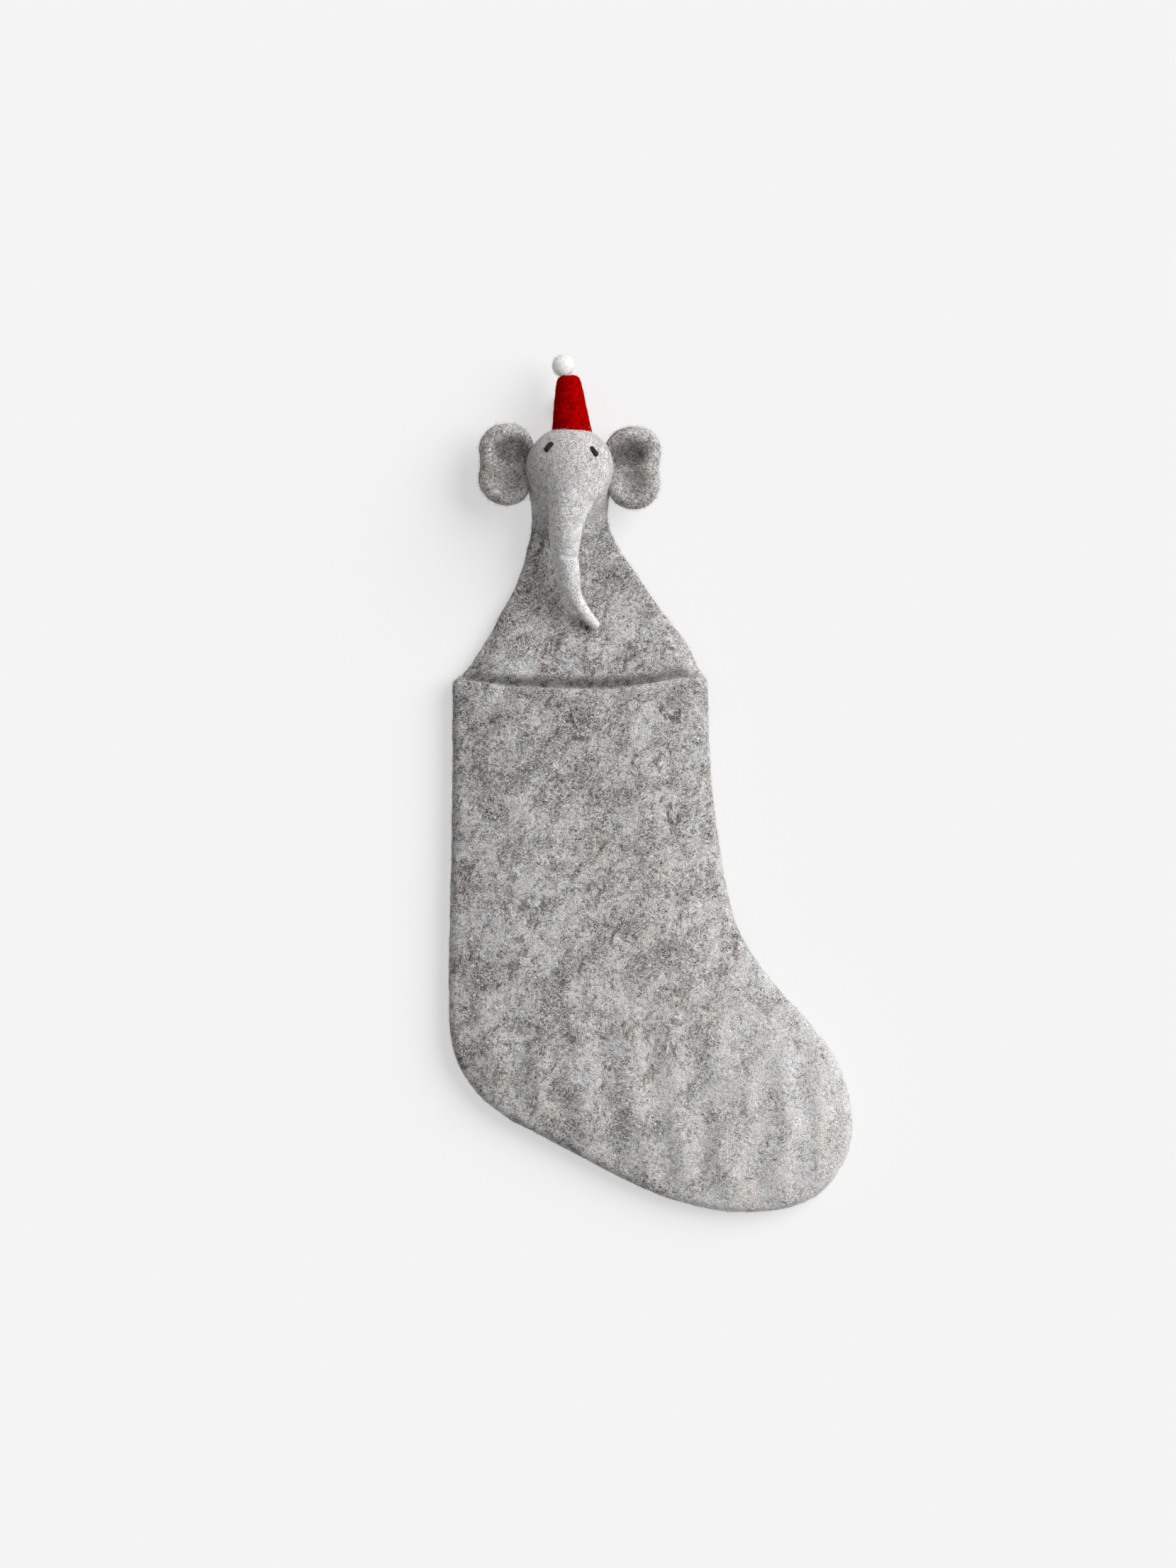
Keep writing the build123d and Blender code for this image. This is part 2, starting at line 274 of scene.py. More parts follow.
def stage_material(name, one_sided):
    """Pale paint that glows a little, as a lit studio backdrop does, so that shadows on it stay faint."""
    n = Nodes(name)
    paint = n.add("ShaderNodeBsdfDiffuse", {"Color": grey(PAINT)}).outputs[0]
    glow = n.add("ShaderNodeEmission", {"Color": WHITE, "Strength": GLOW}).outputs[0]
    lit = n.add("ShaderNodeAddShader", {0: paint, 1: glow}).outputs[0]
    if not one_sided:
        return n.finish(lit)
    clear = n.add("ShaderNodeBsdfTransparent").outputs[0]
    behind = n.add("ShaderNodeNewGeometry").outputs["Backfacing"]
    return n.finish(n.add("ShaderNodeMixShader", {0: behind, 1: lit, 2: clear}).outputs[0])


def strand_layers(n, swirl, color, dark, light, strength):
    """The colour with fine strands of both fleeces laid across it, and what the bump shows of them."""
    raised = []
    for k, turn in enumerate(STRAND_TURNS):
        bright = k % 2
        stretch = (1, 1.6, 2.6 + 0.6 * (k % 3))
        strand = n.noise(swirl, 0.5, detail=2.0, stretch=stretch, turn=turn, shift=17.0 * k + 3)
        mask = n.ramp(strand, 0.5, 0.7)
        over = tinted(light, 1.35) if bright else tinted(dark, 0.45)
        color = n.mix(n.math("MULTIPLY", mask, strength * (1.2 if bright else 1.0)), color, over)
        if k < RAISED_LAYERS:
            raised.append((mask, STRAND_RISE if bright else STRAND_DIP))
    return color, raised


def flecked(n, rest, swirl, patch, color, strength, clear_of):
    """The colour with cool and warm patches, brown stains and straw-coloured bits.

    Where the value clear_of is 1 there are no stains."""
    tint = n.ramp(n.noise(rest, patch * 0.8, detail=2.0, shift=205.0), 0.35, 0.65)
    color = n.multiply(color, n.mix(tint, COOL, WARM))
    rare = n.ramp(n.noise(rest, 26.0, detail=1.0, shift=9.0), 0.42, 0.58)
    spots = n.noise(swirl, 4.6, detail=3.0, stretch=(1, 1, 1.9), turn=0.45, shift=90.0)
    spots = n.math("MULTIPLY", n.math("MULTIPLY", n.ramp(spots, 0.53, 0.66), rare), strength)
    if clear_of is not None:
        spots = n.math("MULTIPLY", spots, n.math("SUBTRACT", 1.0, clear_of))
    color = n.multiply(color, n.mix(spots, WHITE, STAIN))
    straw = n.ramp(n.noise(swirl, 2.6, detail=2.0, shift=130.0), 0.61, 0.73)
    return n.multiply(color, n.mix(n.math("MULTIPLY", straw, strength), WHITE, STRAW))


def wool_material(
    name, dark, light, patch, strands=0.48, flecks=0.0, paler=None, drift=None, painted_cup_shade=None, depth=0.45,
    sheen=0.15, gloss=0.1,
):
    """Felted wool: soft clouds of dark and light fleece, with fine strands of both laid across them.

    patch is the size of the clouds in millimetres, strands how strongly single strands show, and flecks how
    strongly stains and straw do. depth, sheen and gloss are the strengths of the bump, the sheen and the
    highlights. Three more things are optional:
    paler, as (from, to, dark, light), is the fleece that takes over along UP_AND_OUT;
    drift, as (direction, from, to, lift, shade), makes the colour lighter along a direction;
    painted_cup_shade, as (rim, hollow), is painted shade: the colour's factor where the mesh's attribute of
    that name is 0 and where it is 1, darkening the ear's dishes where shade falls."""
    n = Nodes(name)
    rest = swirl = n.attribute(REST, "Vector")
    for size, reach, shift in CURLS:
        swirl = n.curled(swirl, size, reach, shift)
    clouds = n.noise(swirl, patch, detail=3.0, stretch=(1, 1, 1.7), turn=0.5)
    tufts = n.noise(swirl, patch * 0.27, detail=3.0, shift=31.0)
    fine = n.noise(swirl, 0.85, detail=1.0, shift=57.0)
    parts = [(clouds, 1.35), (tufts, 1.1), (fine, 0.9)]
    drifted = None
    if drift:
        direction, start, stop, lift, shade = drift
        drifted = n.ramp(n.along(rest, direction), start, stop)
        parts.append((drifted, lift))
    tone = n.ramp(n.total(parts), *TONES)
    color = n.mix(tone, dark, light)
    if paler:
        low, high, dark_above, light_above = paler
        ragged = n.math("MULTIPLY", n.math("SUBTRACT", tufts, 0.5), PALER_RAGGED)
        share = n.ramp(n.math("ADD", n.along(rest, UP_AND_OUT), ragged), low, high)
        color = n.mix(share, color, n.mix(tone, dark_above, light_above))
    color, raised = strand_layers(n, swirl, color, dark, light, strands)
    if flecks:
        color = flecked(n, rest, swirl, patch, color, flecks, drifted)
    # Painted shade: the ear's dishes are darkened where shade falls, against a lighter rim
    if painted_cup_shade:
        rim, hollow = painted_cup_shade
        color = n.multiply(color, n.mix(n.attribute("painted_cup_shade", "Fac"), grey(rim), grey(hollow)))
    if drift:
        color = n.multiply(color, n.mix(drifted, WHITE, grey(shade)))

    height = n.total([(tufts, 1.2), *raised, (fine, 0.4)])
    bump = n.add("ShaderNodeBump", {"Height": height, "Strength": depth, "Distance": BUMP_TALL}).outputs[0]
    inputs = {"Base Color": color, "Roughness": 0.95, "Specular IOR Level": gloss, "Normal": bump}
    return n.surface(inputs | {"Sheen Weight": sheen, "Sheen Roughness": 0.5})


def fibre_material(name, dark, light):
    """Loose fibres: each has its own shade between these two."""
    n = Nodes(name)
    color = n.mix(n.attribute("shade", "Fac"), dark, light)
    return n.surface({"Base Color": color, "Roughness": 0.9, "Specular IOR Level": 0.1})


def make_wools():
    """The felts and other wool of the pieces, by name."""
    grey_fleece = (0.08, 0.072, 0.064, 1), (0.585, 0.577, 0.57, 1)
    pale_fleece = (0.43, 0.42, 0.41, 1), (0.78, 0.77, 0.76, 1)
    above = (-68.0, -50.0, *pale_fleece)
    toewards = ((0.6, 0.0, -0.3), 100.0, 215.0, 0.26, 1.07)
    # The ears' look carries painted shade in their dishes
    cupped = {"flecks": 0.6, "strands": 0.58, "painted_cup_shade": (1.25, 0.44)}
    matt = {"depth": 0.7, "sheen": 0, "gloss": 0}
    looks = {
        "stocking_wool": (*grey_fleece, 12.0, {"flecks": 0.72, "paler": above, "drift": toewards}),
        "head_wool": (*grey_fleece, 9.0, {"strands": 0.6, "flecks": 0.3, "paler": above}),
        "trunk_wool": (*pale_fleece, 9.0, {"strands": 0.6, "flecks": 0.2}),
        "ear_wool": ((0.1, 0.092, 0.086, 1), (0.5, 0.485, 0.47, 1), 8.0, cupped),
        "loop_wool": (*grey_fleece, 8.0, {}),
        "red_wool": ((0.17, 0.0, 0.0, 1), (0.49, 0.0005, 0.001, 1), 6.0, matt),
        "white_wool": ((0.88, 0.86, 0.83, 1), (0.95, 0.94, 0.92, 1), 5.0, {"strands": 0.03}),
        "black_wool": ((0.012, 0.012, 0.014, 1), (0.035, 0.035, 0.04, 1), 2.0, {"sheen": 0.05}),
        "sewing_thread": ((0.18, 0.17, 0.16, 1), (0.3, 0.29, 0.27, 1), 2.0, {}),
    }
    return {name: wool_material(name, *look, **more) for name, (*look, more) in looks.items()}


def make_fibres():
    """The loose fibres on them, by name."""
    shades = {
        "grey_fibre": ((0.16, 0.15, 0.145, 1), (0.66, 0.65, 0.64, 1)),
        # Paler than the grey fibres: real loose fibres with a painted highlight, for the edges and rim
        "highlight_fringe_fibre": ((0.38, 0.37, 0.36, 1), (0.85, 0.84, 0.83, 1)),
        "pale_fibre": ((0.26, 0.25, 0.24, 1), (0.84, 0.83, 0.82, 1)),
        "ear_fibre": ((0.1, 0.09, 0.085, 1), (0.6, 0.585, 0.57, 1)),
        "red_fibre": ((0.14, 0.0003, 0.0003, 1), (0.5, 0.004, 0.004, 1)),
        "white_fibre": ((0.8, 0.78, 0.75, 1), (0.93, 0.92, 0.9, 1)),
    }
    return {name: fibre_material(name, *colors) for name, colors in shades.items()}


# ---- distance fields, in millimetres

# Swings the noise's grid away from the object's own axes
NOISE_TURN = np.array(Euler((0.7, 0.5, 0.9)).to_matrix())
SEED_SHIFT = 13.7
# Large numbers that scatter the grid's cells into a random-looking value for each
CELL_STEPS = np.array([73856093, 19349663, 83492791])
SEED_STEP, SCATTER = 7919, 1274126177
HALF_RANGE = 32767.5  # of the 16 bits that are kept


def rounded_ramp(value):
    value = np.clip(value, 0, 1)
    return value * value * (3 - 2 * value)


def wool_noise(points, size, seed):
    """Smooth noise from -1 to 1 with features of this size."""
    scaled = points @ NOISE_TURN / size + seed * SEED_SHIFT
    cell = np.floor(scaled).astype(np.int64)
    smooth = rounded_ramp(scaled - cell)
    total = np.zeros(len(points))
    for corner in np.ndindex(2, 2, 2):
        key = (cell + corner) @ CELL_STEPS + seed * SEED_STEP
        key = (key ^ (key >> 13)) * SCATTER
        value = ((key ^ (key >> 16)) & 0xFFFF) / HALF_RANGE - 1
        total += value * np.prod(np.where(corner, smooth, 1 - smooth), axis=1)
    return total


def lumps(points, amount):
    """The unevenness of hand-made felt."""
    wide = wool_noise(points, 16.0, 1)
    middle = wool_noise(points, 6.5, 2)
    close = wool_noise(points, 2.8, 3)
    return amount * (0.55 * wide + 0.35 * middle + 0.16 * close)


def join(a, b, round_by):
    """Two forms felted together, with a fillet of about this size between them."""
    share = np.clip(0.5 + 0.5 * (b - a) / round_by, 0, 1)
    return b + (a - b) * share - round_by * share * (1 - share)


def carve(a, b, round_by):
    """Form a with form b pressed into it."""
    return -join(-a, b, round_by)


def ellipsoid(points, centre, half):
    offset = points - np.array(centre)
    near = np.linalg.norm(offset / np.array(half), axis=1)
    steep = np.linalg.norm(offset / np.square(half), axis=1)
    return near * (near - 1) / np.maximum(steep, 1e-9)


def taper(points, start, end, start_radius, end_radius):
    """A round bar between two points, with round ends."""
    run = np.subtract(end, start)
    share = np.clip((points - start) @ run / (run @ run), 0, 1)
    nearest = np.array(start) + share[:, None] * run
    radius = start_radius + (end_radius - start_radius) * share
    return np.linalg.norm(points - nearest, axis=1) - radius


# ---- meshes

SNAP_ROUNDS = 2  # how often a new mesh's points are drawn onto its surface
SNAP_PROBE = 0.05
SNAP_LIMIT = 0.6  # how far a point may move in one round
LEAST_SLOPE = 0.2  # squared; keeps a point from flying off where the field is nearly flat
RING_SIZES = np.array([1.0, 1.0, 0.8, 0.4])  # of a fibre from its root to its tip
RING_SIDES = 3
ROOT_DEPTH = 0.25
THREAD = 0.045  # the usual radius of a fibre


def crossings(values):
    """For each cell of the grid, the sum of the places where its edges cross the surface, and how many do."""
    inside = values < 0
    cells = tuple(n - 1 for n in values.shape)
    total, count = np.zeros((*cells, 3)), np.zeros(cells)
    for a in np.ndindex(2, 2, 2):
        for axis in range(3):
            if a[axis]:
                continue
            b = tuple(1 if k == axis else a[k] for k in range(3))
            at = [tuple(slice(c[k], c[k] + cells[k]) for k in range(3)) for c in (a, b)]
            first, second = values[at[0]], values[at[1]]
            crossed = inside[at[0]] != inside[at[1]]
            share = np.where(crossed, first / np.where(crossed, first - second, 1), 0)
            place = np.array(a, float) + share[..., None] * (np.array(b) - np.array(a))
            total += np.where(crossed[..., None], place, 0)
            count += crossed
    return total, count


def crossed_quads(inside, number):
    """A quad through the four cells round each edge of the grid that crosses the surface, facing outwards."""
    quads = []
    for axis in range(3):
        side, ids = np.moveaxis(inside, axis, 0), np.moveaxis(number, axis, 0)
        i, j, k = np.nonzero(side[:-1, 1:-1, 1:-1] != side[1:, 1:-1, 1:-1])
        quad = np.stack([ids[i, j, k], ids[i, j + 1, k], ids[i, j + 1, k + 1], ids[i, j, k + 1]], axis=1)
        outward = side[i, j + 1, k + 1] == (axis != 1)
        quads.append(np.where(outward[:, None], quad, quad[:, ::-1]))
    return np.concatenate(quads)


def drawn_to(points, field):
    """The points moved a step closer to the surface where the field is zero."""
    value = field(points)
    slope = np.stack([(field(points + SNAP_PROBE * e) - value) / SNAP_PROBE for e in np.eye(3)], axis=1)
    size = np.maximum(np.sum(slope * slope, axis=1), LEAST_SLOPE)
    move = np.clip(value / size, -SNAP_LIMIT, SNAP_LIMIT)
    return points - slope * move[:, None]


def surface(field, low, high, step):
    """Points and quads of the surface where the field is zero, found cell by cell and then drawn onto it."""
    axes = [np.arange(a, b + step, step) for a, b in zip(low, high)]
    grid = np.stack(np.meshgrid(*axes, indexing="ij"), axis=-1)
    values = field(grid.reshape(-1, 3)).reshape(grid.shape[:3])
    total, count = crossings(values)
    used = count > 0
    number = np.full(used.shape, -1)
    number[used] = np.arange(used.sum())
    points = (np.argwhere(used) + total[used] / count[used][:, None]) * step + np.array(low)
    for _ in range(SNAP_ROUNDS):
        points = drawn_to(points, field)
    return points, crossed_quads(values < 0, number)


def make_mesh(name, points, faces, material):
    """A smooth-shaded object from points in millimetres, with its rest position kept for the material."""
    mesh = bpy.data.meshes.new(name)
    mesh.from_pydata((np.asarray(points) * MM).tolist(), [], [list(map(int, f)) for f in faces])
    mesh.polygons.foreach_set("use_smooth", [True] * len(mesh.polygons))
    mesh.materials.append(material)
    rest = mesh.attributes.new(REST, "FLOAT_VECTOR", "POINT")
    rest.data.foreach_set("vector", np.asarray(points, np.float32).ravel())
    return add_object(name, mesh)


def add_values(piece, name, values):
    """Gives each of the mesh's points a number that a material can read."""
    attribute = piece.data.attributes.new(name, "FLOAT", "POINT")
    attribute.data.foreach_set("value", values.astype(np.float32))


def close_cuts(piece):
    """Closes the open ends that a split leaves, with faces that keep the felt's own shading."""
    shape = bmesh.new()
    shape.from_mesh(piece.data)
    open_edges = [e for e in shape.edges if e.is_boundary]
    caps = bmesh.ops.holes_fill(shape, edges=open_edges, sides=0)["faces"]
    bmesh.ops.triangulate(shape, faces=caps)
    for edge in open_edges:
        edge.smooth = False
    shape.to_mesh(piece.data)
    shape.free()


def split_mesh(points, faces, labels, looks):
    """One mesh for each label of the faces, with its name and material, closed where it was cut."""
    made = []
    for label, (name, material) in enumerate(looks.items()):
        mine = faces[labels == label]
        used, numbers = np.unique(mine, return_inverse=True)
        piece = make_mesh(name, points[used], numbers.reshape(mine.shape), material)
        close_cuts(piece)
        made.append(piece)
    return made


def skin(piece):
    """The corners of a mesh's triangles in millimetres, with their outward directions and their sizes."""
    mesh = piece.data
    mesh.calc_loop_triangles()
    corners = np.zeros(len(mesh.loop_triangles) * 3, int)
    mesh.loop_triangles.foreach_get("vertices", corners)
    points = np.zeros(len(mesh.vertices) * 3)
    mesh.vertices.foreach_get("co", points)
    triangles = (points.reshape(-1, 3) / MM)[corners.reshape(-1, 3)]
    cross = np.cross(triangles[:, 1] - triangles[:, 0], triangles[:, 2] - triangles[:, 0])
    size = np.linalg.norm(cross, axis=1)
    return triangles, cross / np.maximum(size, 1e-9)[:, None], size


def thread_rings(lines, out, aside, radius):
    """Points and faces of closed threads along these lines."""
    angles = np.arange(RING_SIDES) * 2 * np.pi / RING_SIDES
    radius = (radius * RING_SIZES)[None, :, None]
    across = [np.cos(a) * out + np.sin(a) * aside for a in angles]
    rings = np.stack([lines + radius * a[:, None, :] for a in across], axis=2)
    last = (len(RING_SIZES) - 1) * RING_SIDES
    first = np.arange(len(lines))[:, None] * (last + RING_SIDES)
    faces = []
    for ring in range(0, last, RING_SIDES):
        for k in range(RING_SIDES):
            a, b = ring + k, ring + (k + 1) % RING_SIDES
            faces.append(first + [[a, b, b + RING_SIDES, a + RING_SIDES]])
    around = np.arange(RING_SIDES)
    ends = [first + around[::-1], first + last + around]
    return rings.reshape(-1, 3), [*np.concatenate(faces), *np.concatenate(ends)]


def fuzz(name, piece, material, seed, count, length, lift, radius=THREAD, keep=None):
    """Loose fibres on a piece's surface: thin closed threads that leave it at a low angle and curl.

    keep says how thickly they stand, from points in millimetres and outward directions."""
    chance = np.random.default_rng(seed)
    triangles, normal, weight = skin(piece)
    if keep is not None:
        weight = weight * keep(triangles.mean(axis=1), normal)
    chosen = chance.choice(len(weight), count, p=weight / weight.sum())
    share = chance.dirichlet((1, 1, 1), count)
    root = np.einsum("ij,ijk->ik", share, triangles[chosen])
    out = normal[chosen]
    along = np.cross(out, chance.normal(size=(count, 3)))
    along /= np.linalg.norm(along, axis=1)[:, None]
    aside = np.cross(out, along)
    run = chance.uniform(0.5, 1.0, count) * length
    rise = chance.uniform(0.1, 1.0, count) ** 2 * lift
    curl = chance.normal(0, 0.35, count) * length
    lines = [
        root
        + along * (run * t)[:, None]
        + aside * (curl * t * t)[:, None]
        + out * (rise * np.sin(t * 2.0) - ROOT_DEPTH)[:, None]
        for t in np.linspace(0, 1, len(RING_SIZES))
    ]
    points, faces = thread_rings(np.stack(lines, axis=1), out, aside, radius)
    fibres = make_mesh(name, points, faces, material)
    tone = np.clip(chance.beta(1.6, 1.2, count), 0, 1)
    add_values(fibres, "shade", np.repeat(tone, len(points) // count))
    return fibres


# ---- the CAD frame, in millimetres


def box_mm(node):
    return [np.array(c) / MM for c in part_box(node)]


def centre_of(node):
    low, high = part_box(node)
    return np.array((low + high) / 2) / MM


def flat_outline(node):
    """The ordered outline, as (x, z) in millimetres, of a CAD felt's flat back face."""
    shape = bmesh.new()
    shape.from_mesh(node.data)
    bmesh.ops.remove_doubles(shape, verts=shape.verts, dist=1e-6)
    back = {f for f in shape.faces if f.normal.y > 0.99}
    edges = [e for e in shape.edges if sum(f in back for f in e.link_faces) == 1]
    follow = {}
    for edge in edges:
        for a, b in (edge.verts, reversed(edge.verts)):
            follow.setdefault(a, []).append(b)
    start = edges[0].verts[0]
    loop, last, here = [start], None, start
    while True:
        ahead = [v for v in follow[here] if v != last]
        last, here = here, ahead[0]
        if here == start:
            break
        loop.append(here)
    outline = np.array([(v.co.x, v.co.z) for v in loop]) / MM
    shape.free()
    return outline


def opened(loop, kept):
    """The kept stretch of a closed loop, in order from one of its ends to the other."""
    first = int(np.argmax(kept & ~np.roll(kept, 1)))
    return np.roll(loop, -first, axis=0)[np.roll(kept, -first)]


def whole_outline(frame, fold_z):
    """The outline of the stocking's back and flap as one loop, bridged across the fold's gap."""
    lower, upper = (flat_outline(frame["nodes"][name]) for name in ("back_panel", "neck_flap"))
    lower = opened(lower, lower[:, 1] < fold_z - 4.0)
    upper = opened(upper, upper[:, 1] > fold_z + 1.0)
    if lower[-1, 0] < lower[0, 0]:
        lower = lower[::-1]
    if upper[-1, 0] > upper[0, 0]:
        upper = upper[::-1]
    return softened(np.concatenate([lower, upper]))


def softened(outline, spacing=1.5, rounds=3):
    """The closed outline in even steps, with its corners worn round."""
    closed = np.concatenate([outline, outline[:1]])
    travelled = np.concatenate([[0], np.cumsum(np.linalg.norm(np.diff(closed, axis=0), axis=1))])
    even = np.arange(0, travelled[-1], spacing)
    line = np.stack([np.interp(even, travelled, closed[:, k]) for k in (0, 1)], axis=1)
    for _ in range(rounds):
        line = (np.roll(line, 1, axis=0) + 2 * line + np.roll(line, -1, axis=0)) / 4
    return line


def pocket_sides(outline, z):
    """The x of the pocket's left and right sides at a height near its mouth, evened out along them."""
    heights = np.arange(-260.0, -158.0, 2.0)
    near = [outline[np.abs(outline[:, 1] - height) < 12, 0] for height in heights]
    return [np.interp(z, heights, [outermost(x) for x in near]) for outermost in (np.min, np.max)]


# ---- the stocking


def inside_distance(outline, step=1.5, margin=8.0):
    """A function of x and z that gives the distance to the outline, positive inside it."""
    low, high = outline.min(axis=0) - margin, outline.max(axis=0) + margin
    xs, zs = (np.arange(low[k], high[k] + step, step) for k in (0, 1))
    start, run = outline, np.roll(outline, -1, axis=0) - outline
    slope = np.where(run[:, 1] == 0, 1, run[:, 1])
    table = np.zeros((len(xs), len(zs)))
    for row, x in enumerate(xs):
        place = np.stack([np.full(len(zs), x), zs], axis=1)[:, None]
        share = np.clip(((place - start) * run).sum(axis=2) / (run * run).sum(axis=1), 0, 1)
        distance = np.linalg.norm(place - start - share[..., None] * run, axis=2).min(axis=1)
        over = (start[:, 1] > place[..., 1]) != (start[:, 1] + run[:, 1] > place[..., 1])
        at = start[:, 0] + (place[..., 1] - start[:, 1]) * run[:, 0] / slope
        odd = (over & (at > x)).sum(axis=1) % 2 == 1
        table[row] = np.where(odd, distance, -distance)
    past_end = 1.001  # keeps every place that is looked up within the table's last cell

    def look_up(x, z):
        u = np.clip((x - low[0]) / step, 0, len(xs) - past_end)
        v = np.clip((z - low[1]) / step, 0, len(zs) - past_end)
        i, j = u.astype(int), v.astype(int)
        a, b = u - i, v - j
        bottom = table[i, j] * (1 - a) + table[i + 1, j] * a
        top = table[i, j + 1] * (1 - a) + table[i + 1, j + 1] * a
        return bottom * (1 - b) + top * b

    return look_up


def mouth_curve(left, right, top):
    """The height of the pocket's rim at x: a shallow dip between its two ends."""
    left_z, low_z, right_z = top + RIM_LEFT, top + RIM_LOW, top + RIM_RIGHT
    middle = (left_z + right_z) / 2 - low_z

    def height(x):
        share = np.clip((x - left) / (right - left), 0, 1)
        dip = 4 * share * (1 - share)
        short = np.clip(CORNER - np.minimum(x - left, right - x), 0, CORNER)
        ends = left_z + (right_z - left_z) * share - CORNER + np.sqrt(CORNER**2 - short**2)
        wave = wool_noise(np.stack([x, x * 0, x * 0], axis=1), 19.0, 5)
        return ends - middle * dip**0.85 + RIM_WAVE * wave

    return height


def belly(above_rim, from_edge):
    """How far forward the flap hangs, a little more on its way down and then steeply back into the pocket."""
    sagging = rounded_ramp((BELLY_TOP - above_rim) / (BELLY_TOP - BELLY_FOOT))
    hang = sagging * rounded_ramp((above_rim + 1) / BELLY_FOOT)
    return BELLY * hang * rounded_ramp((from_edge - 1) / 8)


def pocket_depth(points, from_edge):
    """How deep the pocket is, with slanted ripples over its foot."""
    swell = POCKET_SWELL * np.sin(np.pi / 2 * np.clip((from_edge - 1) / SWELL_REACH, 0, 1))
    wave = RIPPLE * np.sin(points[:, 0] / RIPPLE_SIZE + 2.5 * wool_noise(points, 34.0, 8))
    ripple = wave * rounded_ramp((FOOT_TOP - points[:, 2]) / FOOT_FADE)
    return EDGE_DEPTH + swell + ripple * rounded_ramp(from_edge / 20)


def stocking_field(edge, mouth, back_y):
    """The whole stocking: a flattened bag whose back carries on as the flap."""
    half = FELT / 2
    fold = EDGE_DEPTH / 2

    def field(points):
        x, y, z = points.T
        d = edge(x, z)
        depth = pocket_depth(points, d) / 2
        inward, off = fold - d, np.abs(y - (back_y - depth)) - (depth - fold)
        bag = np.minimum(np.maximum(inward, off), 0)
        bag += np.hypot(np.maximum(inward, 0), np.maximum(off, 0)) - fold
        rim = mouth(x)
        wall = np.hypot(bag + half, np.maximum(z - rim + half, 0)) - half
        flap_d = d - FLAP_INSET * rounded_ramp(1 - (z - rim) / INSET_TALL)
        sheet = np.hypot(np.maximum(half - flap_d, 0), y - (back_y - half) + belly(z - rim, d)) - half
        sheet = np.maximum(sheet, rim - 5.0 - z)
        return join(wall, sheet, 1.5) - lumps(points, 0.75)

    return field


def stocking_shells(edge, mouth, seam, back_y, wool):
    """The meshes of the pocket and the flap, cut apart just below the mouth."""
    low, high = box_mm("back_panel")
    start = (low[0] - 3, box_mm("front_panel")[0][1] - 4, low[2] - 3)
    end = (high[0] + 3, back_y + 3, box_mm("neck_flap")[1][2] + 3)
    points, faces = surface(stocking_field(edge, mouth, back_y), start, end, FELT_STEP)
    x, y, z = points[faces].mean(axis=1).T
    in_flap = (z > seam) & (y > back_y - FELT - 1.2 - belly(z - mouth(x), edge(x, z)))
    return split_mesh(points, faces, in_flap, {"pocket": wool, "flap": wool})


def stocking_fuzz(pocket, flap, edge, mouth, back_y, hair, highlight_fringe):
    """Hair on the pocket and the flap, and longer fibres along their edges and the rim, paler than the rest
    as a painted highlight where they catch light.
    """

    def outside(centres, normals):
        """The felt's outer faces, and the inner ones near the mouth."""
        shown = (centres[:, 1] > back_y - 1.5) | (centres[:, 1] < back_y - 2 * EDGE_DEPTH + 2.5)
        folded = np.abs(normals[:, 1]) < 0.6
        return np.where(shown | folded, 1.0, 0.04)

    def at_edge(centres, normals):
        outward = np.hypot(normals[:, 0], normals[:, 2])
        return np.where((outward > 0.45) & (edge(centres[:, 0], centres[:, 2]) < 3.0), outward, 0.0)

    def at_rim(centres, normals):
        near = np.abs(centres[:, 2] - mouth(centres[:, 0])) < 2.5
        return at_edge(centres, normals) + (near & (normals[:, 2] > -0.3))

    on_pocket = fuzz("pocket_fuzz", pocket, hair, 1, count=9800, length=4.2, lift=1.0, keep=outside)
    on_flap = fuzz("flap_fuzz", flap, hair, 2, count=3800, length=4.0, lift=1.0)
    # Paler fibres on the rim and edges: a painted highlight where they catch light
    rim = fuzz("pocket_fringe", pocket, highlight_fringe, 21, count=7000, length=2.6, lift=1.3, keep=at_rim)
    side = fuzz("flap_fringe", flap, highlight_fringe, 22, count=1300, length=3.2, lift=1.8, radius=0.05, keep=at_edge)
    return (pocket, on_pocket, rim), (flap, on_flap, side)


def make_stocking(joints, outline, edge, wool, hair, highlight_fringe):
    """The pocket and the flap, with their hair and fringes, built at rest."""
    fold_y, fold_z = joints["flap_fold"][1:]
    back_y = fold_y + FELT / 2
    (_, front_y, _), (_, _, top) = box_mm("front_panel")
    mouth = mouth_curve(*pocket_sides(outline, top), top)
    seam = top - SEAM_BELOW_MOUTH
    pocket, flap = stocking_shells(edge, mouth, seam, back_y, wool)
    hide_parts("front_panel", "mouth_panel", "back_panel")
    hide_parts("neck_flap")
    pocket_felt, flap_felt = stocking_fuzz(pocket, flap, edge, mouth, back_y, hair, highlight_fringe)

    for piece in pocket_felt:
        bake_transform(piece)
    above, below = (0, 0, (fold_z + FOLD_ABOVE) * MM), (0, 0, (fold_z - FOLD_BELOW) * MM)
    for piece in flap_felt:
        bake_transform(piece)
        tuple(above)
        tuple(below)
    for piece in (*pocket_felt, *flap_felt):
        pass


# ---- the elephant

SKULL_HALF = (25.6, 19.3, 22.8)
SKULL_RISE = 2.5  # of its middle over the CAD core's
# Offset from the skull's middle, half sizes, and the fillet where it is felted on
BROW = ((0.0, -6.0, 3.5), (21.0, 14.5, 19.4), 4.0)
CHEEKS = ((0.0, 7.0, -13.0), (23.7, 12.2, 17.0), 5.0)
NECK = ((0.0, 13.8, -26.0), (21.0, 6.3, 17.0), 8.0)
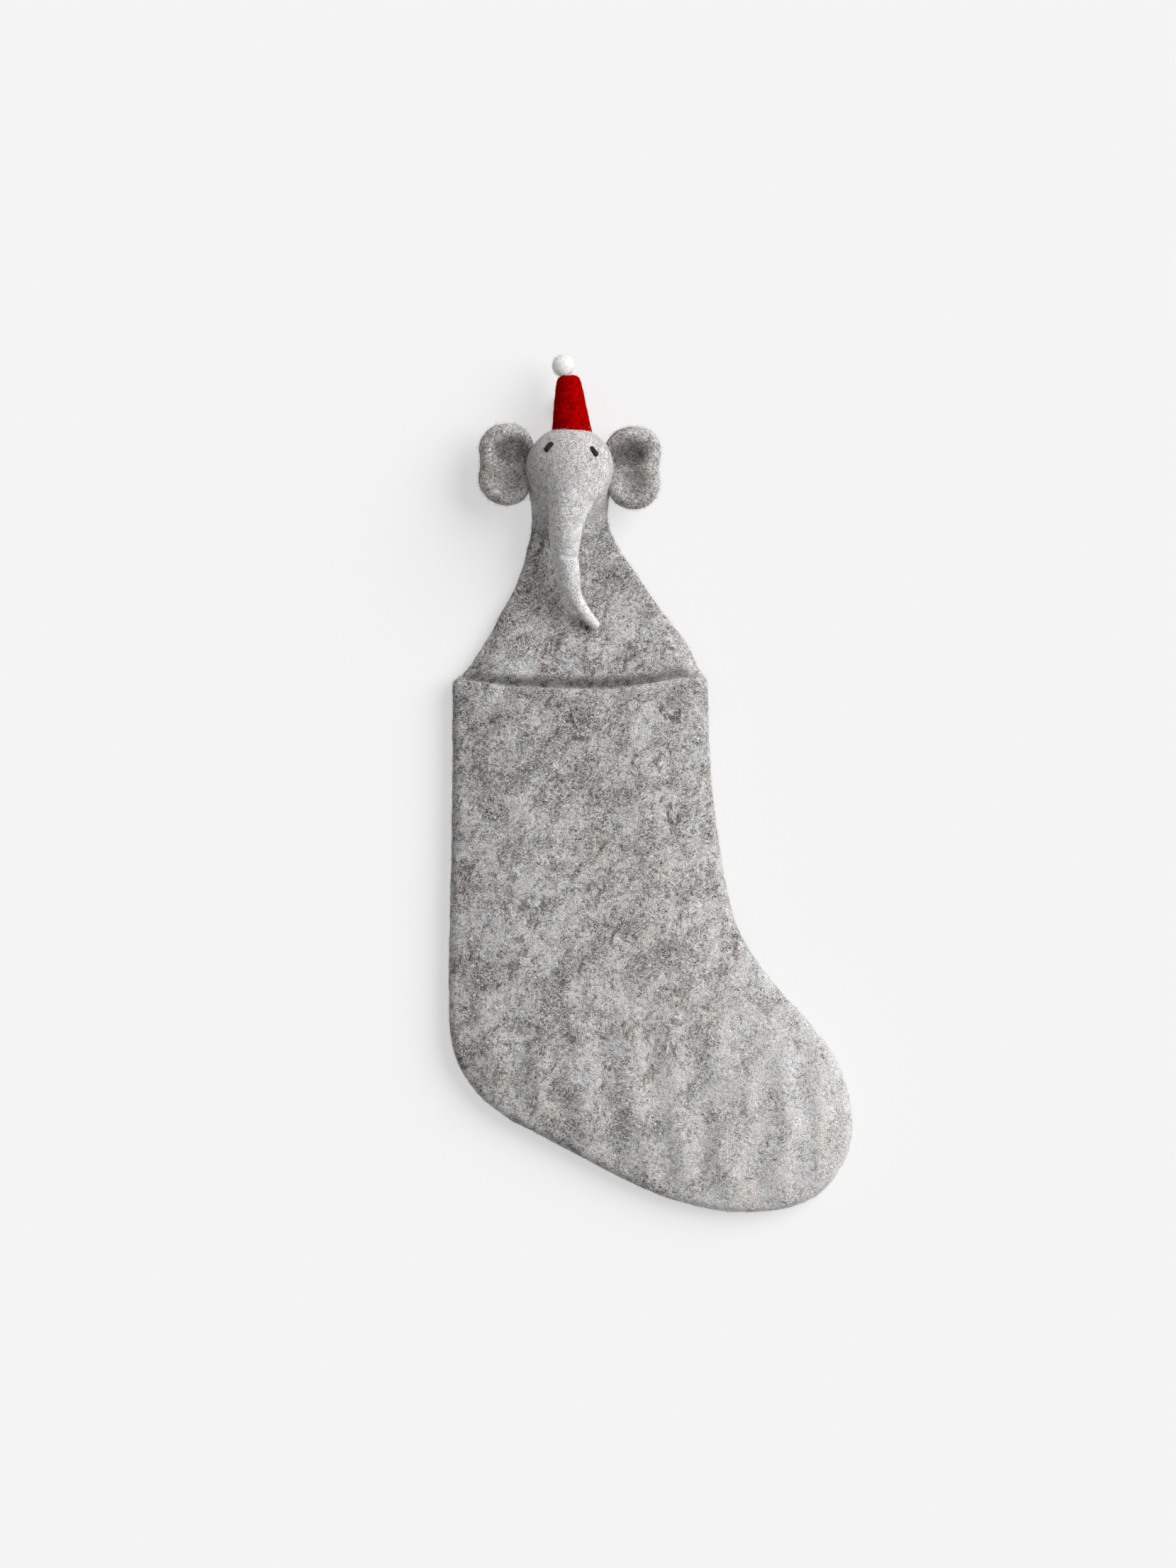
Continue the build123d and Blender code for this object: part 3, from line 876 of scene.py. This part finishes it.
# Its two ends, offset from the skull's middle, their radii, and the fillet
MUZZLE = ((1.5, -6.0, -2.0), (-0.8, -13.8, -20.0), 14.6, 10.6, 9.0)
CHEEK_RIDGE = ((12.0, -7.0, -4.0), (2.2, -13.2, -27.0), 8.5, 7.2, 5.0)  # the lit side of the trunk's root
HEAD_LUMPS = 0.5
HEAD_END = -98.0  # inside the flap
# Trunk: x, y and z of its middle line, and radius
TRUNK = (
    (0.2, -30.0, -47.0, 13.2),
    (-1.0, -34.2, -58.0, 10.3),
    (-2.0, -34.0, -67.0, 9.8),
    (-2.5, -31.8, -76.0, 9.2),
    (-2.4, -27.4, -88.0, 7.5),
    (-1.2, -23.2, -98.0, 6.9),
    (0.4, -20.2, -105.0, 5.7),
    (2.8, -17.4, -111.5, 4.5),
    (6.3, -14.8, -117.6, 3.8),
    (10.9, -12.2, -123.6, 3.5),
    (14.4, -10.6, -127.4, 2.9),
)
TRUNK_FRONT = 34.0  # how far forward its front bend is
TRUNK_SEAMS = (-57.0, -79.0)  # heights at that bend where the head, trunk and tip meet as one skin
SEAM_SLANT = 0.3
TRUNK_HALF, TIP_HALF, TIP_Z = 14.0, 24.0, -100.0  # widths that hold the trunk, and its tip below that height
CREASE_Z, CREASE_DEPTH = -88.4, 0.45
HAT_BASE, HAT_TIP = (1.3, -16.5), (-0.9, 17.1)  # x and z of the ends of its middle line
HAT_PROFILE = ((-10.0, 12.0), (0.0, 11.6), (8.0, 10.5), (16.0, 9.5), (26.0, 8.1), (32.0, 6.6), (36.0, 5.2))
EAR_LOBES = (((8.6, 0.0, 8.4), (16.0, 6.2, 15.2)), ((9.2, 0.4, -9.6), (15.4, 6.6, 15.2)))
EAR_DISHES = (((5.6, -9.4, 7.0), (13.4, 9.4, 11.4)), ((7.4, -10.2, -9.0), (12.0, 8.9, 10.8)))
LOWER_PALER = 0.4  # how much less painted shade the ear's lower dish gets than its upper one
POMPOM_DROP = 0.7
EYE_OUT, EYE_DROP = 3.1, 0.4  # from the CAD's eye
EYE_REACH, EYE_RADIUS = (1.1, 0.2, 1.3), 1.85
LOOP_HOLE, LOOP_TAIL = 4.7, 4.4  # radius of its eye, and half the width of its tail
STITCHES = 5
STITCH_LEAN, STITCH_INSET, STITCH_SINK, STITCH_RADIUS = 0.35, 0.4, 0.45, 0.42


def curve_through(points, spans=4):
    """More points on a smooth line through these, with whatever each one carries."""
    known = np.array(points, float)
    ends = np.stack([2 * known[0] - known[1], *known, 2 * known[-1] - known[-2]])
    line = []
    for a, b, c, d in zip(ends, ends[1:], ends[2:], ends[3:]):
        for t in np.arange(spans) / spans:
            square, cube = 2 * a - 5 * b + 4 * c - d, 3 * b - a - 3 * c + d
            line.append(0.5 * (2 * b + (c - a) * t + square * t**2 + cube * t**3))
    return np.array([*line, known[-1]])


def trunk_form(points, line):
    """The trunk as a chain of tapered bars, nipped in at its crease."""
    form = np.full(len(points), np.inf)
    for a, b in zip(line, line[1:]):
        form = np.minimum(form, taper(points, a[:3], b[:3], a[3], b[3]))
    x, _, z = points.T
    return form + CREASE_DEPTH * np.exp(-np.square((z - CREASE_Z + 0.12 * (x + 2)) / 1.1))


def head_field(skull, edge, back_y):
    """The head with its trunk, and the root of its wool in the flap."""
    line = curve_through(TRUNK)
    half = FELT / 2

    def field(points):
        x, y, z = points.T
        form = ellipsoid(points, skull, SKULL_HALF)
        for offset, size, fillet in (BROW, CHEEKS, NECK):
            form = join(form, ellipsoid(points, skull + offset, size), fillet)
        for start, end, start_radius, end_radius, fillet in (MUZZLE, CHEEK_RIDGE):
            form = join(form, taper(points, skull + start, skull + end, start_radius, end_radius), fillet)
        form = carve(form, back_y - 1.3 - y, 3.0)
        form = join(form, trunk_form(points, line), 4.0)
        # The head's wool thins out onto the flap and ends just under its surface
        sheet = np.hypot(np.maximum(half - edge(x, z), 0), y - (back_y - half)) - half + 0.9
        sheet = np.maximum(sheet, z - skull[2] - 5.0)
        apart = rounded_ramp((-66.0 - z) / 8.0) * rounded_ramp((back_y - FELT - 1.2 - y) / 2.0)
        form = np.where(apart > 0.5, np.minimum(form, sheet), join(form, sheet, 6.0))
        form = form - HEAD_LUMPS * lumps(points, 1.0)
        low = np.where(y > back_y - FELT - 0.9, HEAD_END - z, -100.0)
        return np.maximum(form, low)

    return field


def trunk_share(centres, back_y):
    """For each face of the skin: 0 on the head, 1 on the upper trunk and 2 on its end."""
    x, y, z = centres.T
    on_trunk = (y < back_y - FELT - 1.6) & (np.abs(x) < np.where(z < TIP_Z, TIP_HALF, TRUNK_HALF))
    on_trunk &= y < -22.0 - 0.75 * np.minimum(z + 76.0, 0)
    slanted = z - SEAM_SLANT * (y + TRUNK_FRONT)
    root, crease = TRUNK_SEAMS
    return np.where(on_trunk & (slanted < root), np.where(slanted < crease, 2, 1), 0)


def bend(pieces):
    """Bakes each piece's placement into its mesh."""
    for piece in pieces:
        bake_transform(piece)


def make_head(edge, back_y, head_wool, trunk_wool, hair):
    """Head, trunk and trunk tip, which are one skin of wool cut where it is at rest with its neighbour."""
    skull = centre_of("head_core") + (0.0, 0.0, SKULL_RISE)
    points, faces = surface(head_field(skull, edge, back_y), (-30, -47, -134), (30, 1, -10), FORM_STEP)
    labels = trunk_share(points[faces].mean(axis=1), back_y)
    looks = {"head": head_wool, "trunk_upper": trunk_wool, "trunk_end": trunk_wool}
    head, upper, end = split_mesh(points, faces, labels, looks)
    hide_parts("head_cover", "head_core")
    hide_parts("trunk")
    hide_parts("trunk_tip")

    def bare(centres, normals):
        """Everywhere but the part inside the flap."""
        return (centres[:, 1] <= back_y - FELT - 0.6) | (centres[:, 2] >= skull[2] + 4)

    head_fuzz = fuzz("head_fuzz", head, hair, 3, count=6000, length=3.4, lift=0.9, keep=bare)
    upper_fuzz = fuzz("trunk_upper_fuzz", upper, hair, 4, count=1500, length=3.2, lift=0.8, keep=bare)
    end_fuzz = fuzz("trunk_end_fuzz", end, hair, 5, count=1300, length=3.0, lift=0.8, keep=bare)
    for piece in (head, head_fuzz):
        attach(piece, "head")
    bend((upper, upper_fuzz))
    bend((end, end_fuzz))


def ear_field(root, mirror):
    def field(points):
        upper, lower = (ellipsoid(points, root + mirror * offset, half) for offset, half in EAR_LOBES)
        form = join(upper, lower, 7.0)
        for offset, half in EAR_DISHES:
            form = carve(form, ellipsoid(points, root + mirror * offset, half), 4.0)
        return form - lumps(points, 0.9)

    return field


def cup_shade_amount(points, root, mirror):
    """The ear's painted shade: 0 on its rim and back, and up to 1 at the bottom of its dishes, where shade
    falls.
    """
    apart = np.min([ellipsoid(points, root + mirror * offset, half) for offset, half in EAR_DISHES], axis=0)
    near = rounded_ramp(1 - apart / 3.0)
    deep = rounded_ramp((points[:, 1] - root[1] + 5.5) / 4.5)
    lower = rounded_ramp((root[2] + 6.0 - points[:, 2]) / 14.0)
    return near * deep * (1 - LOWER_PALER * lower)


def make_ears(joints, wool, hair):
    for side, name in ((-1, "left_ear"), (1, "right_ear")):
        root = joints[name + "_flap"]
        mirror = np.array([side, 1.0, 1.0])
        low, high = root - (29, 11, 28), root + (29, 9, 28)
        points, faces = surface(ear_field(root, mirror), low, high, FORM_STEP)
        ear = make_mesh(name + "_felt", points, faces, wool)
        # Painted shade for the ear's dishes, which the ear's material reads
        add_values(ear, "painted_cup_shade", cup_shade_amount(points, root, mirror))
        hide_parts(name)

        def shown(centres, normals, root=root, side=side):
            return (centres[:, 0] - root[0]) * side > -4.0

        more = {"count": 4200, "length": 3.2, "lift": 1.8, "radius": 0.04, "keep": shown}
        ear_fuzz = fuzz(name + "_fuzz", ear, hair, 6 + side, **more)
        bend((ear, ear_fuzz))


def hat_field(depth):
    base = np.array([HAT_BASE[0], depth, HAT_BASE[1]])
    run = np.array([HAT_TIP[0], depth, HAT_TIP[1]]) - base
    tall = np.linalg.norm(run)
    heights, radii = np.transpose(HAT_PROFILE)

    def field(points):
        h = (points - base) @ (run / tall)
        out = np.linalg.norm(points - base - h[:, None] * run / tall, axis=1)
        side = out - np.interp(h, heights, radii)
        form = carve(side, tall - h, 3.5)
        return np.maximum(form, -9.0 - h) - lumps(points, 0.55)

    return field


def make_hat(pivot, red, red_hair, pale_hair):
    low, high = pivot - (16, 16, 20), pivot + (16, 16, 31)
    hat = make_mesh("hat_felt", *surface(hat_field(pivot[1]), low, high, FORM_STEP), red)
    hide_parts("hat")

    def flank(centres, normals):
        return centres[:, 2] > -17.5

    def foot(centres, normals):
        return (centres[:, 2] < -12.5 - 0.1 * centres[:, 0]) & (centres[:, 2] > -18.0)

    hat_fuzz = fuzz("hat_fuzz", hat, red_hair, 9, count=1900, length=3.0, lift=0.8, radius=0.038, keep=flank)
    hem = fuzz("hat_hem_fuzz", hat, pale_hair, 10, count=150, length=2.2, lift=0.7, radius=0.04, keep=foot)
    bend((hat, hat_fuzz, hem))


def felt_form(name, field, place, material, body, node):
    """A piece with this field that moves with one body and stands for this CAD node."""
    piece = make_mesh(name, *surface(field, *place), material)
    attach(piece, body)
    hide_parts(node)
    return piece


def make_pompom(white, hair):
    ball = centre_of("pompom") - (0, 0, POMPOM_DROP)
    radius = box_mm("pompom")[1][2] - ball[2]

    def field(points):
        return np.linalg.norm(points - ball, axis=1) - (radius - 1.0) - lumps(points, 0.5)

    place = (ball - 9, ball + 9, SMALL_STEP)
    pompom = felt_form("pompom_wool", field, place, white, "hat", "pompom")
    fluff = fuzz("pompom_fuzz", pompom, hair, 11, count=1500, length=2.6, lift=1.2)
    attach(fluff, "hat")


def bar_field(start, end, radius, amount):
    def field(points):
        return taper(points, start, end, radius, radius) - lumps(points, amount)

    return field


def make_eyes(black):
    """Two small ovals that slant towards each other at the top."""
    for name, slant in (("left_eye", 1.0), ("right_eye", -1.0)):
        middle = centre_of(name) + (0, -EYE_OUT, -EYE_DROP)
        reach = np.array(EYE_REACH) * (slant, 1, 1)
        shape = bar_field(middle - reach, middle + reach, EYE_RADIUS, 0.2)
        place = (middle - 5, middle + 5, 0.3)
        felt_form(name + "_wool", shape, place, black, "head", name)


def make_loop(wool, hair):
    """The felt hanging loop behind the head."""
    low, high = box_mm("hanging_loop")
    outer = high[0]
    half = (high[1] - low[1]) / 2

    def field(points):
        x, y, z = points.T
        out = np.hypot(x, z)
        flat = join(out - outer, np.maximum(np.abs(x) - LOOP_TAIL, np.maximum(z, low[2] - z)), 3.0)
        flat = np.maximum(flat, LOOP_HOLE - out)
        rim = np.hypot(np.maximum(flat + half, 0), np.maximum(np.abs(y) - 0.1, 0)) - half
        return rim - lumps(points, 0.25)

    place = (low - 2, high + 2, SMALL_STEP)
    loop = felt_form("loop_felt", field, place, wool, "loop", "hanging_loop")
    loop_fuzz = fuzz("loop_fuzz", loop, hair, 12, count=500, length=2.4, lift=0.6, radius=0.05)
    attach(loop_fuzz, "loop")


def make_stitches(thread):
    """The stitches that hold the loop, leaning to one side and the other."""
    low, high = box_mm("loop_stitches")
    y = high[1] - STITCH_SINK
    for k in range(STITCHES):
        x = low[0] + (high - low)[0] * (k + 0.5) / STITCHES
        lean = STITCH_LEAN * (-1) ** k
        top = np.array([x + lean, y, high[2] - STITCH_INSET])
        foot = np.array([x - lean, y, low[2] + STITCH_INSET])
        shape = bar_field(foot, top, STITCH_RADIUS, 0.08)
        piece = make_mesh(f"stitch_{k + 1}", *surface(shape, foot - 1.2, top + 1.2, 0.25), thread)
        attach(piece, "head")
        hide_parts("loop_stitches")


# ---- the whole scene


def main():
    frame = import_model()
    make_camera()
    make_light()
    make_stage(box_mm("back_panel")[0][2])
    wool = make_wools()
    hair = make_fibres()

    joints = {j["name"]: np.array(j["pos_m"]) / MM for j in frame["joints"]}
    fold_y, fold_z = joints["flap_fold"][1:]
    outline = whole_outline(frame, fold_z)
    edge = inside_distance(outline)
    back_y = fold_y + FELT / 2
    make_stocking(joints, outline, edge, wool["stocking_wool"], hair["grey_fibre"], hair["highlight_fringe_fibre"])
    make_head(edge, back_y, wool["head_wool"], wool["trunk_wool"], hair["pale_fibre"])
    make_ears(joints, wool["ear_wool"], hair["ear_fibre"])
    make_hat(joints["hat_tilt"], wool["red_wool"], hair["red_fibre"], hair["pale_fibre"])
    make_pompom(wool["white_wool"], hair["white_fibre"])
    make_eyes(wool["black_wool"])
    make_loop(wool["loop_wool"], hair["grey_fibre"])
    make_stitches(wool["sewing_thread"])


main()
